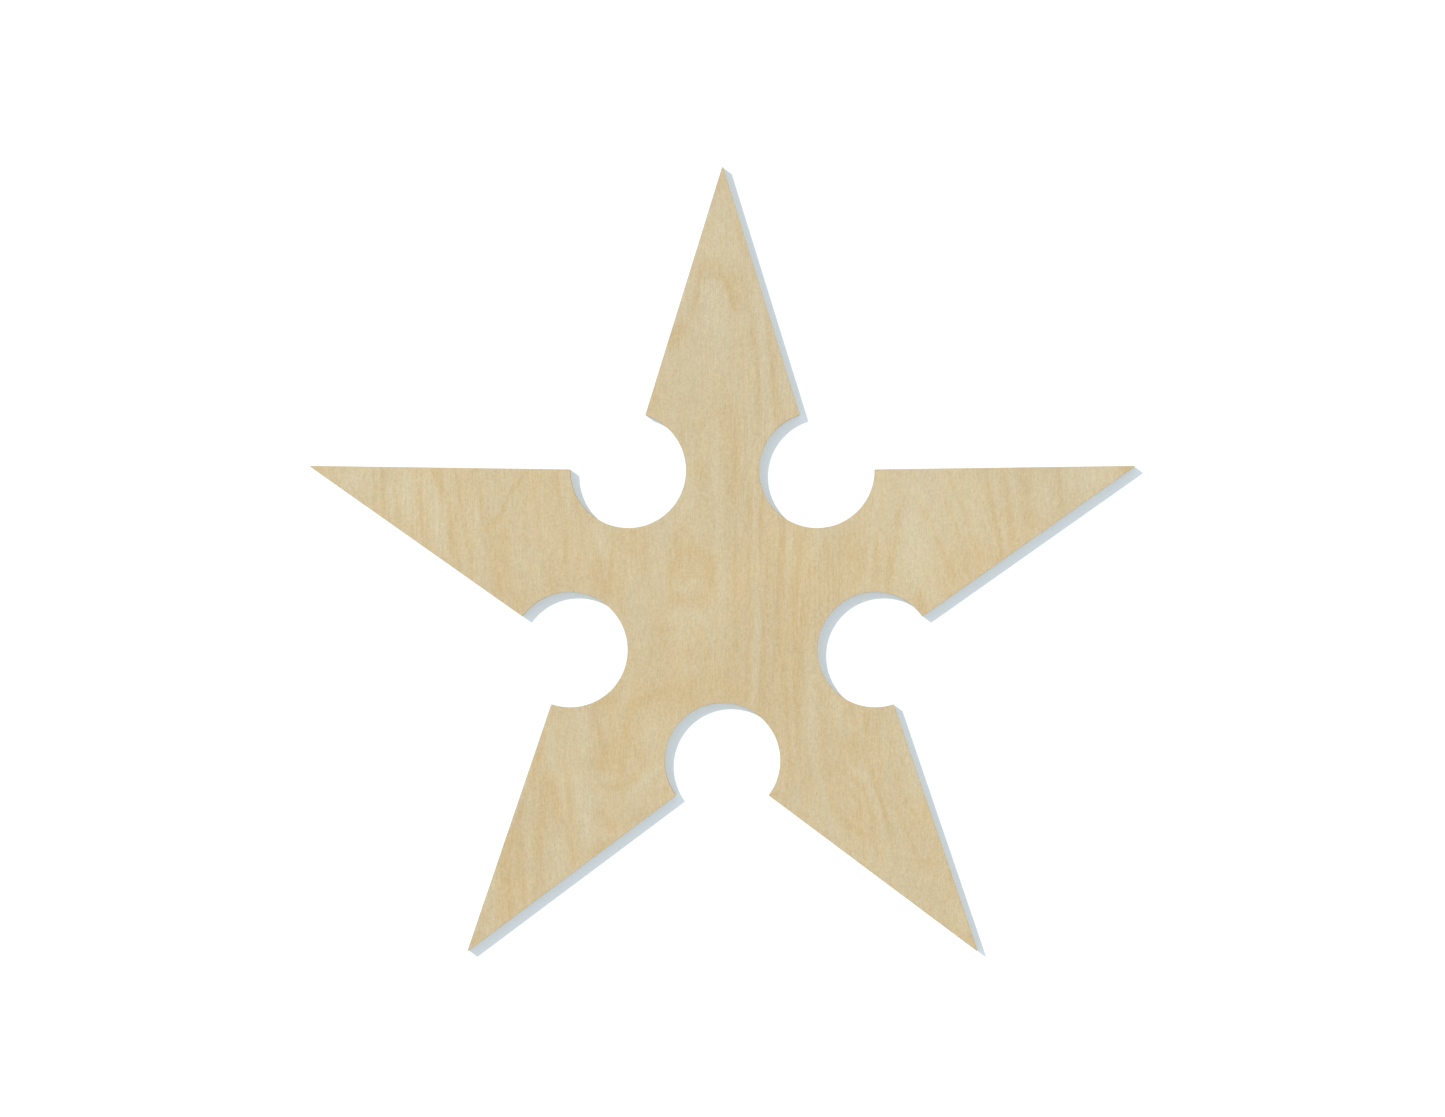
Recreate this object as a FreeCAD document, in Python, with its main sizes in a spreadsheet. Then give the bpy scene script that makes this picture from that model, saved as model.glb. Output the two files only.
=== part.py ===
"""Flat five-pointed star cut from 6 mm birch plywood, with a round notch between each two points.

The star lies on its back on the XY plane with one point towards +Y, and its thickness rises along +Z.
The origin is the star's centre on the back face. Five birch veneers and the four glue lines that bond
them are stacked face to face, and the same cutter path gives every layer the same outline.
Lengths are in millimetres and angles in degrees.
"""

import FreeCAD, Part
import Sketcher
import math
import os

# Driving dimensions: each becomes a cell of the sheet with this alias.
SIZES = (
    ("overall_width", 304.8, "across the two side points, before their tips are eased"),
    ("waist_radius", 59.2, "centre to the corner where the sides of two neighbouring points meet"),
    ("notch_radius", 21.3, "round notch bored on each of those corners"),
    ("tip_radius", 0.2, "easing of the five sharp tips"),
    ("lip_radius", 0.2, "easing of the ten corners where a notch meets a straight side"),
    ("arris_radius", 0.15, "sanded edge round the front face and round the back face"),
    ("face_thickness", 0.86, "front veneer after sanding"),
    ("crossband_thickness", 1.32, "each of the two veneers whose grain runs across the star"),
    ("core_thickness", 1.32, "middle veneer"),
    ("back_thickness", 0.86, "back veneer after sanding"),
    ("glue_thickness", 0.08, "each cured glue line"),
)

# The layers from the bottom up: node name, the size that is its thickness, the face that is sanded.
LAYERS = (
    ("back_veneer", "back_thickness", "bottom"),
    ("back_glue_line", "glue_thickness", None),
    ("lower_crossband", "crossband_thickness", None),
    ("lower_core_glue_line", "glue_thickness", None),
    ("core_veneer", "core_thickness", None),
    ("upper_core_glue_line", "glue_thickness", None),
    ("upper_crossband", "crossband_thickness", None),
    ("face_glue_line", "glue_thickness", None),
    ("face_veneer", "face_thickness", "top"),
)

POINTS = 5
FULL_TURN = 360.0
HALF_STEP = FULL_TURN / POINTS / 2  # angle from a point to the notch beside it
SIDE_POINT_RISE = FULL_TURN / 4 - 2 * HALF_STEP  # angle of the two side points above the X axis
REACH = f"Sizes.overall_width / 2 / cos({SIDE_POINT_RISE} deg)"  # centre to tip
SAME = 1e-4  # lengths this close are equal
THROUGH_ALL = 1  # the Pocket type that cuts through everything
START, END, CENTRE = 1, 2, 3  # the sketcher's names for a curve's points
ORIGIN, Y_AXIS = -1, -2  # the sketcher's own geometry


def make_sheet(doc):
    """The sheet of driving dimensions, one aliased cell each."""
    sheet = doc.addObject("Spreadsheet::Sheet", "Sizes")
    for row, (alias, value, meaning) in enumerate(SIZES, start=1):
        sheet.set(f"A{row}", alias)
        sheet.set(f"B{row}", str(value))
        sheet.set(f"C{row}", meaning)
        sheet.setAlias(f"B{row}", alias)
    doc.recompute()
    return sheet


def origin_feature(body, role):
    """The body's own plane or axis with this role."""
    return next(f for f in body.Origin.OriginFeatures if f.Role == role)


def new_sketch(body, name):
    """An empty sketch on the body's XY plane, which is the underside of the layer."""
    sketch = body.newObject("Sketcher::SketchObject", name)
    sketch.AttachmentSupport = [(origin_feature(body, "XY_Plane"), "")]
    sketch.MapMode = "FlatFace"
    return sketch


def point_sketch(body, sizes):
    """One point of the star: a kite from the centre out to the tip, with a corner each side."""
    sketch = new_sketch(body, "point_outline")
    half_step = math.radians(HALF_STEP)
    reach = sizes["overall_width"] / 2 / math.cos(math.radians(SIDE_POINT_RISE))
    corner_x = sizes["waist_radius"] * math.sin(half_step)
    corner_y = sizes["waist_radius"] * math.cos(half_step)
    centre = FreeCAD.Vector(0, 0, 0)
    right = FreeCAD.Vector(corner_x, corner_y, 0)
    tip = FreeCAD.Vector(0, reach, 0)
    left = FreeCAD.Vector(-corner_x, corner_y, 0)
    corners = [centre, right, tip, left]
    for start, end in zip(corners, corners[1:] + corners[:1]):
        sketch.addGeometry(Part.LineSegment(start, end), False)
    spoke, right_side, left_side, other_spoke = range(len(corners))
    sketch.addConstraint(Sketcher.Constraint("Coincident", spoke, END, right_side, START))
    sketch.addConstraint(Sketcher.Constraint("Coincident", right_side, END, left_side, START))
    sketch.addConstraint(Sketcher.Constraint("Coincident", left_side, END, other_spoke, START))
    sketch.addConstraint(Sketcher.Constraint("Coincident", other_spoke, END, spoke, START))
    sketch.addConstraint(Sketcher.Constraint("Coincident", spoke, START, ORIGIN, START))
    sketch.addConstraint(Sketcher.Constraint("PointOnObject", right_side, END, Y_AXIS))
    sketch.addConstraint(
        Sketcher.Constraint("Symmetric", spoke, END, other_spoke, START, Y_AXIS)
    )
    reach_datum = sketch.addConstraint(
        Sketcher.Constraint("DistanceY", ORIGIN, START, right_side, END, reach)
    )
    waist_datum = sketch.addConstraint(
        Sketcher.Constraint("Distance", spoke, sizes["waist_radius"])
    )
    sketch.addConstraint(Sketcher.Constraint("Angle", spoke, Y_AXIS, half_step))
    sketch.setExpression(f"Constraints[{reach_datum}]", REACH)
    sketch.setExpression(f"Constraints[{waist_datum}]", "Sizes.waist_radius")
    return sketch


def notch_sketch(body, sizes):
    """The round notch straight below the centre, on the corner between the two lower points."""
    sketch = new_sketch(body, "notch_outline")
    middle = FreeCAD.Vector(0, -sizes["waist_radius"], 0)
    up = FreeCAD.Vector(0, 0, 1)
    notch = sketch.addGeometry(Part.Circle(middle, up, sizes["notch_radius"]), False)
    sketch.addConstraint(Sketcher.Constraint("PointOnObject", notch, CENTRE, Y_AXIS))
    waist_datum = sketch.addConstraint(
        Sketcher.Constraint("DistanceY", notch, CENTRE, ORIGIN, START, sizes["waist_radius"])
    )
    radius_datum = sketch.addConstraint(
        Sketcher.Constraint("Radius", notch, sizes["notch_radius"])
    )
    sketch.setExpression(f"Constraints[{waist_datum}]", "Sizes.waist_radius")
    sketch.setExpression(f"Constraints[{radius_datum}]", "Sizes.notch_radius")
    return sketch


def round_the_star(body, original, name):
    """Repeats a feature once for each point, round the body's Z axis."""
    pattern = body.newObject("PartDesign::PolarPattern", name)
    pattern.Originals = [original]
    pattern.Axis = (origin_feature(body, "Z_Axis"), [""])
    pattern.Angle = FULL_TURN
    pattern.Occurrences = POINTS
    body.Tip = pattern
    body.Document.recompute()
    return pattern


def upright_edges(shape):
    """(edge name, distance from the Z axis) of every straight edge that runs along Z."""
    found = []
    for number, edge in enumerate(shape.Edges, start=1):
        low, high = edge.Vertexes[0].Point, edge.Vertexes[-1].Point
        if math.hypot(high.x - low.x, high.y - low.y) < SAME < abs(high.z - low.z):
            found.append((f"Edge{number}", math.hypot(low.x, low.y)))
    return found


def flat_face(shape, side):
    """The name of the layer's top or bottom face."""
    height = shape.BoundBox.ZMax if side == "top" else shape.BoundBox.ZMin
    for number, face in enumerate(shape.Faces, start=1):
        if face.BoundBox.ZLength < SAME and abs(face.BoundBox.ZMax - height) < SAME:
            return f"Face{number}"
    raise RuntimeError(f"the layer has no {side} face")


def add_fillet(body, name, base, names, size):
    """Rounds the named edges, or all edges of the named faces, to a radius from the sheet."""
    fillet = body.newObject("PartDesign::Fillet", name)
    fillet.Base = (base, names)
    fillet.setExpression("Radius", f"Sizes.{size}")
    body.Tip = fillet
    body.Document.recompute()
    return fillet


def make_layer(doc, name, thickness, sanded, below, sizes):
    """One veneer or glue line as a body. below lists the thicknesses of the layers under it."""
    body = doc.addObject("PartDesign::Body", name)
    body.Label = name

    point = body.newObject("PartDesign::Pad", "one_point")
    point.Profile = point_sketch(body, sizes)
    point.setExpression("Length", f"Sizes.{thickness}")
    doc.recompute()
    star = round_the_star(body, point, "five_points")

    notch = body.newObject("PartDesign::Pocket", "one_notch")
    notch.Profile = notch_sketch(body, sizes)
    notch.Type = THROUGH_ALL
    notch.Reversed = True
    doc.recompute()
    notched = round_the_star(body, notch, "five_notches")
    if notched.Shape.Volume > star.Shape.Volume - SAME:
        raise RuntimeError(f"the notches cut nothing from {name}")

    edges = upright_edges(notched.Shape)
    reach = max(distance for _, distance in edges)
    tips = [edge for edge, distance in edges if distance > reach - SAME]
    eased_tips = add_fillet(body, "eased_tips", notched, tips, "tip_radius")
    middle = (reach + sizes["waist_radius"]) / 2
    lips = [edge for edge, distance in upright_edges(eased_tips.Shape) if distance < middle]
    outline = add_fillet(body, "eased_lips", eased_tips, lips, "lip_radius")
    if sanded:
        add_fillet(body, "sanded_arris", outline, [flat_face(outline.Shape, sanded)], "arris_radius")

    if below:
        height = " + ".join(f"Sizes.{size}" for size in below)
        body.setExpression("Placement.Base.z", height)
    doc.recompute()
    return body


def check(doc, layers):
    """Stops before anything is written if a feature failed or a layer isn't one sound solid."""
    for item in doc.Objects:
        if "Invalid" in item.State or "Error" in item.State:
            raise RuntimeError(f"{item.Label} failed: {item.State}")
    for layer in layers:
        shape = layer.Shape
        if shape.isNull() or not shape.isValid() or len(shape.Solids) != 1:
            raise RuntimeError(f"{layer.Label} isn't one valid solid")


def main():
    doc = FreeCAD.newDocument("plywood_star")
    sheet = make_sheet(doc)
    sizes = {alias: float(sheet.get(alias)) for alias, _, _ in SIZES}
    layers = []
    below = []
    for name, thickness, sanded in LAYERS:
        layers.append(make_layer(doc, name, thickness, sanded, below, sizes))
        below.append(thickness)
    doc.recompute()
    check(doc, layers)
    os.makedirs("parts", exist_ok=True)
    for layer in layers:
        layer.Shape.exportStep(f"parts/{layer.Label}.step")
        box = layer.Shape.BoundBox
        print(
            f"{layer.Label}: {layer.Shape.Volume:.1f} mm3, {len(layer.Shape.Faces)} faces,"
            f" {box.XLength:.2f} x {box.YLength:.2f}, z {box.ZMin:.2f} to {box.ZMax:.2f}"
        )


main()
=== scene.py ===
"""Bare star of five-ply birch plywood with a round notch between each two points, fresh from the cutter.

Nine bonded layers lie on each other: five peeled birch veneers and the four resin lines between them.
Everything is in metres in the part's own frame: the back face lies on Z = 0 and one point looks to +Y.
"""

import math

import bpy
import numpy as np
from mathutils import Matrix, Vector


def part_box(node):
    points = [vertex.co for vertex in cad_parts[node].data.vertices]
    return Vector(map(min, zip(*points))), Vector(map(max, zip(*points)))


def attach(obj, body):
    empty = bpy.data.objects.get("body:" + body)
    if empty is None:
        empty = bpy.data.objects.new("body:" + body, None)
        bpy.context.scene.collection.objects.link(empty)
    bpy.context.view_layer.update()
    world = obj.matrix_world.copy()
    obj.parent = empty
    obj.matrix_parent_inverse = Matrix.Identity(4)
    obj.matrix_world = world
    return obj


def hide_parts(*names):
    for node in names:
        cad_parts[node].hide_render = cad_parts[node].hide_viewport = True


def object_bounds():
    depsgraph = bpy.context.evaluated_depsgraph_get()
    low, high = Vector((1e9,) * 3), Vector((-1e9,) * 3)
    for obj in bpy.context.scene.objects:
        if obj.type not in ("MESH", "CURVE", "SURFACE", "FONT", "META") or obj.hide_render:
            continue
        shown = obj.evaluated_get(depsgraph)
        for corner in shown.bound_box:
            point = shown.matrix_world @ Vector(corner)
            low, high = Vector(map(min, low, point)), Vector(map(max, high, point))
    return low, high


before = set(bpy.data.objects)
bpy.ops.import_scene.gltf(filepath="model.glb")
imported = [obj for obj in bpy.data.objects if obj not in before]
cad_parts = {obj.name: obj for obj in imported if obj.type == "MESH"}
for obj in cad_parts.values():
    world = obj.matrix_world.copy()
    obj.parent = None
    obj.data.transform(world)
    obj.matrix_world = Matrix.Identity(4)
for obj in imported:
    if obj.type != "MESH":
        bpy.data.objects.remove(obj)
cad_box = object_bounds()

# The cutter's path. One spiral bit follows one closed path through the whole pressed sheet, so all
# nine layers share it: straight sides that run to five sharp tips, a round notch on each corner
# between two points, and tips and lips that are eased with a few strokes of fine paper.

mm = 0.001
points = 5
half_step = math.pi / points  # angle from a point to the notch beside it
side_point_rise = math.pi / 2 - 2 * half_step  # angle of the two side points above the X axis
overall_width = 304.8 * mm  # across the two side points, before their tips are eased
reach = overall_width / 2 / math.cos(side_point_rise)  # centre to tip
waist_radius = 59.2 * mm  # centre to the corner between two points, which is a notch's centre
notch_radius = 21.3 * mm
tip_easing = 0.2 * mm
lip_easing = 0.2 * mm
notch_steps, corner_steps, side_steps = 72, 6, 90  # cells along each stretch of the path


def bearing(vector):
    """The angle of a flat vector, anticlockwise from +X."""
    return math.atan2(vector[1], vector[0])


def arc(middle, radius, begin, end, steps):
    """Points at middle + radius (cos a, sin a), with a going evenly from begin to end.

    Gives the points and the same (cos a, sin a), which point away from the middle.
    """
    angle = np.linspace(begin, end, steps + 1)
    out = np.stack([np.cos(angle), np.sin(angle)], 1)
    return middle + radius * out, out


def side_of_a_point():
    """The right side of the point that looks to +Y, from the waist to the tip.

    A quarter and a bit of the notch's circle, the eased lip that touches that circle and the side,
    the straight side, and the eased tip. Gives the path's points, its outward normals and how far
    along the path each lies.
    """
    corner = waist_radius * np.array([math.sin(half_step), math.cos(half_step)])
    tip = np.array([0.0, reach])
    along = (tip - corner) / np.linalg.norm(tip - corner)
    outward = np.array([along[1], -along[0]])
    # The easing circle lies inside the side by its own radius and outside the notch by the same.
    to_lip = math.sqrt(notch_radius**2 + 2 * notch_radius * lip_easing)
    lip_middle = corner + to_lip * along - lip_easing * outward
    tip_middle = tip - np.array([0.0, tip_easing / outward[1]])

    notch, inward = arc(
        corner, notch_radius, bearing(corner) + math.pi, bearing(lip_middle - corner), notch_steps
    )
    lip, lip_out = arc(
        lip_middle, lip_easing, bearing(corner - lip_middle), bearing(outward), corner_steps
    )
    tip_round, tip_out = arc(tip_middle, tip_easing, bearing(outward), math.pi / 2, corner_steps)
    share = np.linspace(0, 1, side_steps + 1)[1:-1, None]
    side = lip[-1] + share * (tip_round[0] - lip[-1])
    path = np.concatenate([notch, lip[1:], side, tip_round])
    normals = np.concatenate([-inward, lip_out[1:], outward + 0 * side, tip_out])
    steps = np.linalg.norm(np.diff(path, axis=0), axis=1)
    return path, normals, np.concatenate([[0.0], np.cumsum(steps)])


side, side_out, side_run = side_of_a_point()
# Round one point: up its right side and, mirrored, down its left side.
flip = np.array([-1.0, 1.0])
around = np.concatenate([side, side[-2::-1] * flip])
around_out = np.concatenate([side_out, side_out[-2::-1] * flip])
around_run = np.concatenate([side_run, 2 * side_run[-1] - side_run[-2::-1]])


# The back veneer. It is peeled from the log as one wide ribbon, glued with its grain along Y and
# sanded smooth, and its cut edge is broken with fine paper. The shape of a layer and the look of
# peeled birch are first needed here.

arris_steps, wall_steps = 5, 4  # cells up the rounded arris and up the wall of the cut
across_steps, waist_steps = 14, 14  # cells across a point, and from the centre to the waist
same_place = 1e-4 * mm  # points nearer than this are one

# A layer's finish is kept on a square map. An outer veneer's open side fills it, with the edge in
# strips at the upper left and the glued side small at the upper right. A layer inside has its edge
# in strips as wide as the map, and its two glued sides small below them.
map_margin = 0.012
open_side_drop = 0.095  # how far the open side lies below the map's middle, as a share of the reach
outer_strips = (0.012, 0.64, 0.385, 0.034)  # left, bottom, width and pitch
inner_strips = (0.01, 0.14, 0.98, 0.084)
strip_foot, strip_head = 0.08, 0.92  # what a strip fills of its pitch
outer_glued_spot, outer_glued_scale = (0.82, 0.82), 0.28  # a glued side's middle, and its scale
inner_underside_spot, inner_top_spot, inner_glued_scale = (0.25, 0.06), (0.75, 0.06), 0.12


def turned(places, point):
    """Flat places turned about the star's centre from the first point to another one."""
    angle = 2 * math.pi * point / points
    cos, sin = math.cos(angle), math.sin(angle)
    return places @ np.array([[cos, sin], [-sin, cos]])


def edge_profile(low, high, sanded, arris):
    """The edge from the underside to the top.

    Each row gives how far the edge is set in, its height, and its normal's outward and upward parts.
    A sanded side ends in a quarter circle: set in by arris (1 - cos a), risen by arris sin a.
    """
    turn = np.linspace(0, math.pi / 2, arris_steps + 1)
    foot = low + arris * (sanded == "back")
    head = high - arris * (sanded == "face")
    wall = np.linspace(foot, head, wall_steps + 1)
    rows = [np.stack([0 * wall, wall, 1 + 0 * wall, 0 * wall], 1)]
    quarter = np.stack([arris * (1 - np.cos(turn)), arris * np.sin(turn), np.cos(turn), np.sin(turn)], 1)
    if sanded == "face":
        rows.append(quarter[1:] + [0, wall[-1], 0, 0])
    if sanded == "back":
        rows.insert(0, (quarter[:0:-1] * [1, -1, 1, -1]) + [0, wall[0], 0, 0])
    return np.concatenate(rows)


def grid_quads(rows, columns):
    """The corners of each cell of a grid of points.

    They run anticlockwise where rows go up and columns go to the right.
    """
    number = np.arange(rows * columns).reshape(rows, columns)
    cells = [number[:-1, :-1], number[:-1, 1:], number[1:, 1:], number[1:, :-1]]
    return np.stack(cells, -1).reshape(-1, 4)


def edge_patch(profile, point):
    """The edge round one point: the path carried up the profile, set in along its own normals.

    Its map is in metres: how far along the path, and how high.
    """
    inset, height, out_part, up_part = profile.T[:, :, None]
    flat = around[None] - inset[..., None] * around_out[None]
    flat = turned(flat.reshape(-1, 2), point)
    out = turned(around_out, point)[None] * out_part[..., None]
    normal = np.concatenate([out, up_part[..., None] + 0 * out[..., :1]], 2).reshape(-1, 3)
    height = (height + 0 * around_run[None]).reshape(-1, 1)
    start = 2 * side_run[-1] * point
    run = np.broadcast_to(start + around_run, inset.shape[:1] + around_run.shape).reshape(-1, 1)
    quads = grid_quads(len(profile), len(around))
    return np.concatenate([flat, height], 1), normal, np.concatenate([run, height], 1), quads


def flat_patch(inset, height, up, point):
    """One point's share of a flat side, from the star's centre to the tip.

    Rows first grow from the centre to the waist, then go from side to side of the point:
    place = (u x, y), with u from 1 on the right side to -1 on the left one.
    """
    edge = side - inset * side_out
    grow = np.linspace(0, 1, waist_steps + 1)[:-1, None]
    ends = np.concatenate([grow * edge[0], edge])
    u = np.linspace(1, -1, across_steps + 1)
    flat = np.stack([ends[:, :1] * u, ends[:, 1:] + 0 * u], -1).reshape(-1, 2)
    place = np.concatenate([turned(flat, point), np.full((len(flat), 1), height)], 1)
    normal = np.tile([0.0, 0.0, up], (len(flat), 1))
    quads = grid_quads(len(ends), across_steps + 1)
    quads = quads if up < 0 else quads[:, ::-1]
    return place, normal, place[:, :2].copy(), quads


def finish_map(places, spot, scale):
    """A flat side laid on the square map that its finish is kept on: spot + scale (x, y)."""
    return np.array(spot) + scale * places[:, :2]


def strip_map(count_across, rows, point, box):
    """The edge of one point as two strips of the square map, one for each of its sides.

    box holds the strips' left, bottom, width and pitch. They lie above each other, point by point.
    """
    left, bottom, width, pitch = box
    half = count_across // 2
    share = np.concatenate([side_run, side_run[-2::-1]]) / side_run[-1]
    u = np.broadcast_to(left + width * share, (rows, count_across))
    level = np.where(np.arange(count_across) <= half, 0, 1) + 2 * point
    up = np.linspace(strip_foot, strip_head, rows)[:, None]
    v = bottom + pitch * (level + up)
    return np.stack([u, v], -1).reshape(-1, 2)


def closed_mesh(name, place, normal, quads, maps):
    """A mesh of grids that meet: points of two grids at the same place are one vertex.

    Each grid keeps its own normals, so flat sides stay flat and round ones smooth. Where a cell's
    side shrinks to a point, at the centre and the tips, the cell is a triangle.
    """
    key = np.round(place / same_place).astype(np.int64)
    _, kept, vertex = np.unique(key, axis=0, return_index=True, return_inverse=True)
    corners = vertex.ravel()[quads]
    real = corners != np.roll(corners, 1, axis=1)
    count = real.sum(1)
    mesh = bpy.data.meshes.new(name)
    mesh.vertices.add(len(kept))
    mesh.vertices.foreach_set("co", place[kept].ravel())
    mesh.loops.add(int(count.sum()))
    mesh.loops.foreach_set("vertex_index", corners[real])
    mesh.polygons.add(len(count))
    mesh.polygons.foreach_set("loop_start", np.concatenate([[0], np.cumsum(count)[:-1]]))
    mesh.polygons.foreach_set("loop_total", count)
    for label, values in maps.items():
        layer = mesh.uv_layers.new(name=label)
        layer.uv.foreach_set("vector", values[quads[real]].ravel().astype(np.float32))
    mesh.update(calc_edges=True)
    mesh.polygons.foreach_set("use_smooth", np.ones(len(count), bool))
    mesh.normals_split_custom_set(normal[quads[real]])
    return mesh


def make_layer(name, node, sanded=None, arris=0.0):
    """One layer as a closed piece between the heights that the part gives it.

    Its surface is fifteen grids: for each point, a share of the underside, of the top and of the
    edge. sanded says which side is open to the air, if any.
    """
    low, high = (corner.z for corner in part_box(node))
    profile = edge_profile(low, high, sanded, arris)
    room = (0.5 - map_margin) / (overall_width / 2)
    spots = {
        -1.0: (outer_glued_spot if sanded else inner_underside_spot),
        1.0: (outer_glued_spot if sanded else inner_top_spot),
    }
    scales = dict.fromkeys(spots, room * (outer_glued_scale if sanded else inner_glued_scale))
    if sanded:
        open_side = 1.0 if sanded == "face" else -1.0
        spots[open_side] = (0.5, 0.5 - room * open_side_drop * reach)
        scales[open_side] = room
    strips = outer_strips if sanded else inner_strips

    patches, maps = [], []
    for point in range(points):
        patches.append(edge_patch(profile, point))
        maps.append(strip_map(len(around), len(profile), point, strips))
        for up, row in ((-1.0, 0), (1.0, -1)):
            inset, height = profile[row, :2]
            patches.append(flat_patch(inset, height, up, point))
            maps.append(finish_map(patches[-1][0], spots[up], scales[up]))

    first = np.cumsum([0] + [len(patch[0]) for patch in patches[:-1]])
    place, normal, edge_map = (np.concatenate([patch[i] for patch in patches]) for i in range(3))
    quads = np.concatenate([patch[3] + start for patch, start in zip(patches, first)])
    maps = {"OFBake": np.concatenate(maps), "edge": edge_map}
    piece = bpy.data.objects.new(name, closed_mesh(name, place, normal, quads, maps))
    bpy.context.scene.collection.objects.link(piece)
    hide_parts(node)
    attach(piece, "root")
    return piece


def tone(red, green, blue):
    """A colour as linear light, from screen values out of 255."""
    screen = np.array([red, green, blue]) / 255
    return (*np.where(screen <= 0.04045, screen / 12.92, ((screen + 0.055) / 1.055) ** 2.4), 1.0)


def put(tree, kind, inputs=(), **settings):
    """Adds a node to the tree, with its settings. inputs gives sockets or values by name or number."""
    node = tree.nodes.new(kind)
    for key, value in settings.items():
        setattr(node, key, value)
    for key, value in dict(inputs).items():
        if isinstance(value, bpy.types.NodeSocket):
            tree.links.new(value, node.inputs[key])
        else:
            node.inputs[key].default_value = value
    return node


def calc(tree, operation, *values):
    """The result of one Math node."""
    return put(tree, "ShaderNodeMath", enumerate(values), operation=operation).outputs[0]


def steer(tree, value, begin, end, low=0.0, high=1.0):
    """value eased from low, at begin, to high, at end, and held beyond them."""
    inputs = {"Value": value, "From Min": begin, "From Max": end, "To Min": low, "To Max": high}
    return put(tree, "ShaderNodeMapRange", inputs, interpolation_type="SMOOTHSTEP").outputs[0]


def blend_colours(tree, share, first, second, kind="MIX"):
    """Two colours mixed by share."""
    node = put(tree, "ShaderNodeMix", {"Factor": share}, data_type="RGBA", blend_type=kind)
    for socket, value in ((node.inputs[6], first), (node.inputs[7], second)):
        if isinstance(value, bpy.types.NodeSocket):
            tree.links.new(value, socket)
        else:
            socket.default_value = value
    return node.outputs[2]


def sway(tree, noise, strength, level=0.0):
    """level + strength (noise - 0.5): a level moved up and down by a noise from 0 to 1."""
    return calc(tree, "MULTIPLY_ADD", calc(tree, "SUBTRACT", noise, 0.5), strength, level)


def dot(tree, first, second):
    """The dot product of two vectors."""
    inputs = {0: first, 1: second}
    return put(tree, "ShaderNodeVectorMath", inputs, operation="DOT_PRODUCT").outputs["Value"]


def spread(tree, place, size):
    """A place counted in a pattern's own size: across the grain, along it and deep."""
    inputs = {0: place, 1: tuple(1 / extent for extent in size)}
    return put(tree, "ShaderNodeVectorMath", inputs, operation="MULTIPLY").outputs[0]


def cloud(tree, place, size, detail=1.0, roughness=0.5, output="Fac"):
    """Soft noise from 0 to 1 whose blots are as large as size."""
    inputs = {"Vector": spread(tree, place, size), "Scale": 1.0}
    inputs.update({"Detail": detail, "Roughness": roughness})
    return put(tree, "ShaderNodeTexNoise", inputs).outputs[output]


def new_group(name, inputs, outputs):
    """A shader node group. inputs gives each socket's kind and resting value, outputs its kind."""
    group = bpy.data.node_groups.new(name, "ShaderNodeTree")
    for label, (kind, value) in inputs.items():
        group.interface.new_socket(label, in_out="INPUT", socket_type=kind).default_value = value
    for label, kind in outputs.items():
        group.interface.new_socket(label, in_out="OUTPUT", socket_type=kind)
    entry = group.nodes.new("NodeGroupInput").outputs
    leaving = group.nodes.new("NodeGroupOutput").inputs
    return group, entry, leaving


def use_group(tree, group, inputs):
    """Places a group in a tree and gives its outputs."""
    return put(tree, "ShaderNodeGroup", inputs, node_tree=group).outputs


NUMBER, VECTOR, COLOUR = "NodeSocketFloat", "NodeSocketVector", "NodeSocketColor"


def make_ring_group():
    """Which growth ring the knife met at a place, counted in rings.

    The log's rings lie nearly level with the sheet, so the count is the depth in rings, plus a lean
    across the grain and along it, plus broad and small swells that run along the grain. Lines of
    equal count are the flames and streaks on the face.
    """
    group, given, result = new_group(
        "growth_rings",
        {
            "Place": (VECTOR, (0, 0, 0)),
            "Lean": (VECTOR, (0.1, 0.02, 0.4)),
            "Broad swell": (NUMBER, 6.0),
            "Small swell": (NUMBER, 1.0),
        },
        {"Rings": NUMBER},
    )
    level = dot(group, given["Place"], given["Lean"])
    broad = cloud(group, given["Place"], (46, 170, 400), detail=0.0)
    small = cloud(group, given["Place"], (13, 52, 400), detail=3.0)
    level = calc(group, "MULTIPLY_ADD", broad, given["Broad swell"], level)
    level = calc(group, "MULTIPLY_ADD", small, given["Small swell"], level)
    group.links.new(level, result["Rings"])
    return group


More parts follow.
